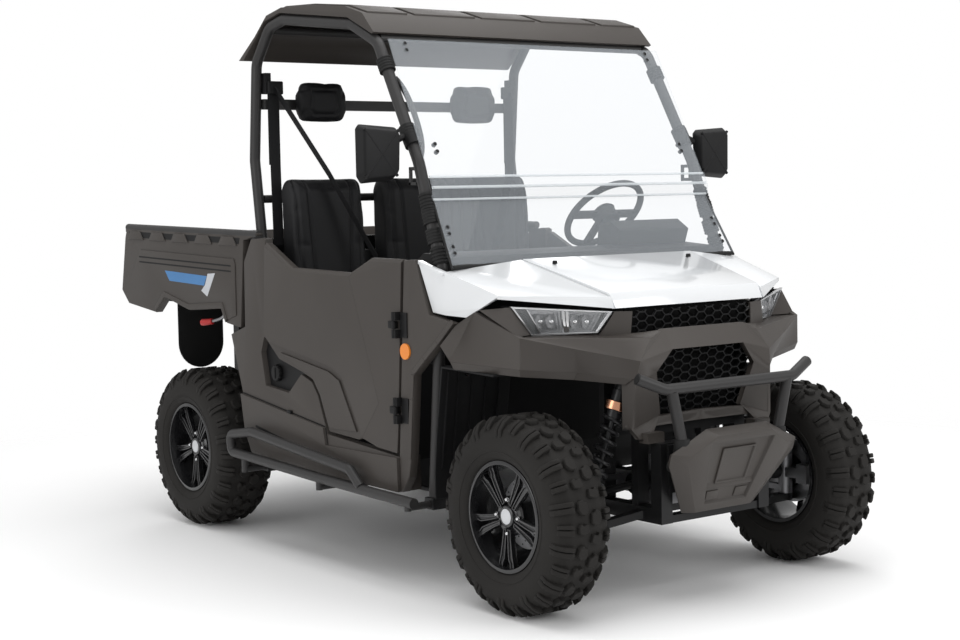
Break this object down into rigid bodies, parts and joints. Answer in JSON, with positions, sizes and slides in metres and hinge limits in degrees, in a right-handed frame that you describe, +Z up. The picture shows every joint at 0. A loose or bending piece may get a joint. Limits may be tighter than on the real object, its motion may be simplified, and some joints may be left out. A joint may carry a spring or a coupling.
{
  "type": "side by side utility vehicle",
  "caption": "Side by side utility vehicle with half doors, roll cage, clear windscreen, steered front wheels, lifting hood and tilting cargo bed with a drop tailgate.",
  "frame": {"origin": "on the ground, under the middle of the vehicle's bounding box", "axes": "+Z up, front of the vehicle towards -Y, +X towards the vehicle's left"},
  "size_m": [1.786, 3.14, 2.105],
  "materials": {
    "dark_plastic": "moulded warm dark grey plastic, fine grain",
    "gloss_white": "gloss white moulded body colour",
    "black_plastic": "matte black moulded plastic",
    "frame_black": "satin black powder coat",
    "cage_grey": "dark grey satin paint on steel tube",
    "arm_grey": "dark paint",
    "engine_metal": "cast aluminium, dull",
    "steel": "plain steel",
    "spring_black": "painted spring steel",
    "tyre_rubber": "black tyre rubber",
    "wheel_black": "satin black wheel",
    "seat_vinyl": "black vinyl, sewn",
    "clear": "clear polycarbonate",
    "lamp_lens": "clear lamp lens",
    "red_lens": "red lamp lens",
    "amber_lens": "amber reflector",
    "webbing": "black woven webbing",
    "rubber_black": "black rubber"
  },
  "bodies": {
    "chassis": {"frame": "frame_black", "shock_towers": "frame_black", "cross_members": "frame_black", "powertrain": "engine_metal", "radiator": "black_plastic", "muffler": "steel", "tow_hitch": "frame_black", "suspension_arms": "arm_grey", "shock_absorbers": "spring_black", "drive_shafts": "steel", "rear_knuckles": "steel", "steering_rack": "steel", "floor_tub": "black_plastic", "arch_liners": "black_plastic", "dashboard": "black_plastic", "steering_column": "black_plastic", "front_side_panels": "dark_plastic", "rear_side_panels": "dark_plastic", "door_hinges": "frame_black", "front_fascia": "dark_plastic", "grilles": "black_plastic", "headlamps": "lamp_lens", "fender_covers": "gloss_white", "bumper_bar": "frame_black", "bumper_cover": "dark_plastic", "side_markers": "amber_lens", "cage_right": "cage_grey", "cage_left": "cage_grey", "cage_crossbars": "cage_grey", "roof_panel": "dark_plastic", "windscreen_lower": "clear", "windscreen_upper": "clear", "pillar_clamps": "rubber_black", "mirrors": "black_plastic", "seat_cushions": "seat_vinyl", "seat_backs": "seat_vinyl", "headrests": "seat_vinyl", "seat_belts": "webbing", "side_steps": "frame_black"},
    "knuckle_right": {"knuckle_front_right": "steel"},
    "knuckle_left": {"knuckle_front_left": "steel"},
    "front_right_wheel": {"tyre_front_right": "tyre_rubber", "wheel_front_right": "wheel_black"},
    "front_left_wheel": {"tyre_front_left": "tyre_rubber", "wheel_front_left": "wheel_black"},
    "rear_right_wheel": {"tyre_rear_right": "tyre_rubber", "wheel_rear_right": "wheel_black"},
    "rear_left_wheel": {"tyre_rear_left": "tyre_rubber", "wheel_rear_left": "wheel_black"},
    "steering": {"steering_wheel": "rubber_black"},
    "right_door": {"door_right": "dark_plastic"},
    "left_door": {"door_left": "dark_plastic"},
    "hood": {"hood_panel": "gloss_white"},
    "bed": {"bed_tub": "black_plastic", "bed_side_panels": "dark_plastic", "tail_lamps": "red_lens", "mud_flaps": "rubber_black"},
    "gate": {"tailgate": "dark_plastic"}
  },
  "joints": [
    {"name": "steer_right", "type": "hinge", "parent": "chassis", "child": "knuckle_right", "pos_m": [-0.6, -1.195, 0.33], "axis": [0, 0, 1], "range_deg": [-30, 30]},
    {"name": "steer_left", "type": "hinge", "parent": "chassis", "child": "knuckle_left", "pos_m": [0.6, -1.195, 0.33], "axis": [0, 0, 1], "range_deg": [-30, 30]},
    {"name": "steering_turn", "type": "hinge", "parent": "chassis", "child": "steering", "pos_m": [0.384, -0.445, 1.285], "axis": [0, 0.72, 0.694], "range_deg": [-270, 270]},
    {"name": "spin_front_right", "type": "hinge", "parent": "knuckle_right", "child": "front_right_wheel", "pos_m": [-0.6395, -1.195, 0.33], "axis": [1, 0, 0], "continuous": true},
    {"name": "spin_front_left", "type": "hinge", "parent": "knuckle_left", "child": "front_left_wheel", "pos_m": [0.6395, -1.195, 0.33], "axis": [1, 0, 0], "continuous": true},
    {"name": "spin_rear_right", "type": "hinge", "parent": "chassis", "child": "rear_right_wheel", "pos_m": [-0.643, 0.911, 0.33], "axis": [1, 0, 0], "continuous": true},
    {"name": "spin_rear_left", "type": "hinge", "parent": "chassis", "child": "rear_left_wheel", "pos_m": [0.643, 0.911, 0.33], "axis": [1, 0, 0], "continuous": true},
    {"name": "door_right_swing", "type": "hinge", "parent": "chassis", "child": "right_door", "pos_m": [-0.75, -0.615, 0.78], "axis": [0, 0, 1], "range_deg": [0, 70]},
    {"name": "door_left_swing", "type": "hinge", "parent": "chassis", "child": "left_door", "pos_m": [0.75, -0.615, 0.78], "axis": [0, 0, -1], "range_deg": [0, 70]},
    {"name": "hood_lift", "type": "hinge", "parent": "chassis", "child": "hood", "pos_m": [0, -1.308, 1.004], "axis": [1, 0, 0], "range_deg": [0, 60]},
    {"name": "bed_tilt", "type": "hinge", "parent": "chassis", "child": "bed", "pos_m": [0, 1.37, 0.88], "axis": [-1, 0, 0], "range_deg": [0, 45]},
    {"name": "tailgate_drop", "type": "hinge", "parent": "bed", "child": "gate", "pos_m": [0, 1.517, 0.926], "axis": [-1, 0, 0], "range_deg": [0, 90]}
  ],
  "couplings": [
    {"joint": "steer_left", "follows": "steer_right", "ratio": 1},
    {"joint": "steering_turn", "follows": "steer_right", "ratio": 9}
  ]
}
